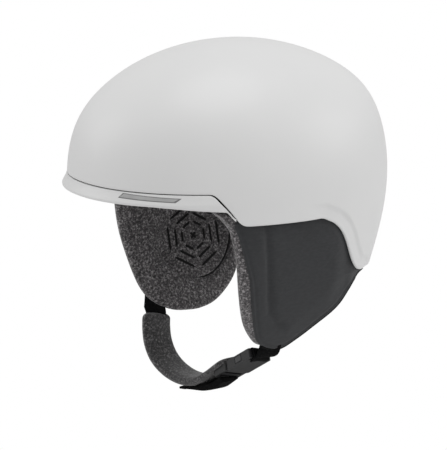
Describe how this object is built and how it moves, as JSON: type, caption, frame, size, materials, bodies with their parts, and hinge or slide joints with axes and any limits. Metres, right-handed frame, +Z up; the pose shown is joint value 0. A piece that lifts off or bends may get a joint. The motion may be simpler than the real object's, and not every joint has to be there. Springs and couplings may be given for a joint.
{
  "type": "ski helmet",
  "caption": "Hard-shell ski helmet with short flared brim, foam liner, soft ear pads, dial fit band, goggle strap retainer and a buckled chin strap with fleece chin pad.",
  "frame": {"origin": "mid-plane centre of the head opening, at the level where the shell is widest", "axes": "+Z up, -Y towards the front of the helmet, +X towards the wearer's left"},
  "size_m": [0.2246, 0.2835, 0.3062],
  "materials": {
    "shell": "matte white moulded ABS",
    "brim": "matte white moulded ABS",
    "badge": "bare grey moulded plate",
    "foam": "black expanded polystyrene",
    "pad_fabric": "brushed knit over soft foam",
    "softshell": "charcoal softshell, fine horizontal rib",
    "fleece": "heather charcoal fleece",
    "vent": "moulded heather fabric with slits",
    "webbing": "black woven webbing",
    "buckle": "satin black acetal",
    "fit": "black nylon",
    "knob": "soft-touch black rubber",
    "steel": "zinc-plated steel",
    "retainer": "black flexible rubber"
  },
  "bodies": {
    "helmet": {"band_guide_left": "fit", "band_guide_right": "fit", "brim_badge": "badge", "brow_pad": "pad_fabric", "cradle_cover": "fit", "crown_pad": "pad_fabric", "ear_pad_cover_left": "softshell", "ear_pad_cover_right": "softshell", "ear_pad_fleece_left": "fleece", "ear_pad_fleece_right": "fleece", "ear_snap_front_left": "buckle", "ear_snap_front_right": "buckle", "ear_snap_rear_left": "buckle", "ear_snap_rear_right": "buckle", "eps_liner": "foam", "fit_cradle": "fit", "front_brim": "brim", "goggle_hinge_pin": "steel", "goggle_mount": "fit", "goggle_snap_stud": "steel", "height_strut": "fit", "outer_shell": "shell", "rear_pad_left": "pad_fabric", "rear_pad_right": "pad_fabric", "speaker_vent_left": "vent", "speaker_vent_right": "vent", "strap_rivet_left": "steel", "strap_rivet_right": "steel", "strap_web_upper_left": "webbing", "strap_web_upper_right": "webbing", "temple_pad_left": "pad_fabric", "temple_pad_right": "pad_fabric"},
    "fit_dial": {"fit_dial": "knob", "dial_pinion": "fit"},
    "band_left": {"fit_band_left": "fit", "band_pad_left": "pad_fabric"},
    "band_right": {"fit_band_right": "fit", "band_pad_right": "pad_fabric"},
    "goggle_clip": {"goggle_clip": "retainer", "goggle_snap_cap": "retainer"},
    "chin_strap": {"strap_web_lower_left": "webbing", "strap_web_lower_right": "webbing", "strap_tail": "webbing", "chin_pad": "fleece", "buckle_female": "buckle", "buckle_male": "buckle"},
    "prong_front": {"buckle_prong_front": "buckle"},
    "prong_rear": {"buckle_prong_rear": "buckle"}
  },
  "joints": [
    {"name": "fit_dial_turn", "type": "hinge", "parent": "helmet", "child": "fit_dial", "pos_m": [0, 0.088, -0.058], "axis": [0, 0.848, -0.53], "range_deg": [-80, 80]},
    {"name": "band_left_slide", "type": "hinge", "parent": "helmet", "child": "band_left", "pos_m": [0, 0.0219, -0.0167], "axis": [0, 0.53, 0.848], "range_deg": [-5.3, 5.3]},
    {"name": "band_right_slide", "type": "hinge", "parent": "helmet", "child": "band_right", "pos_m": [0, 0.0219, -0.0167], "axis": [0, 0.53, 0.848], "range_deg": [-5.3, 5.3]},
    {"name": "goggle_clip_open", "type": "hinge", "parent": "helmet", "child": "goggle_clip", "pos_m": [0, 0.1364, 0.006], "axis": [1, 0, 0], "range_deg": [0, 80]},
    {"name": "chin_strap_swing", "type": "hinge", "parent": "helmet", "child": "chin_strap", "pos_m": [-0.00115, -0.0227, -0.131], "axis": [0.9774, 0.2043, -0.055], "range_deg": [-10, 10]},
    {"name": "prong_front_squeeze", "type": "hinge", "parent": "chin_strap", "child": "prong_front", "pos_m": [0.03218, -0.02417, -0.15462], "axis": [-0.5855, 0.2041, 0.7846], "range_deg": [0, 10], "stiffness_Nm_per_rad": 0.06},
    {"name": "prong_rear_squeeze", "type": "hinge", "parent": "chin_strap", "child": "prong_rear", "pos_m": [0.0316, -0.00881, -0.15905], "axis": [0.5855, -0.2041, -0.7846], "range_deg": [0, 10], "stiffness_Nm_per_rad": 0.06}
  ],
  "couplings": [
    {"joint": "band_left_slide", "follows": "fit_dial_turn", "ratio": -0.064103},
    {"joint": "band_right_slide", "follows": "fit_dial_turn", "ratio": 0.064103}
  ]
}
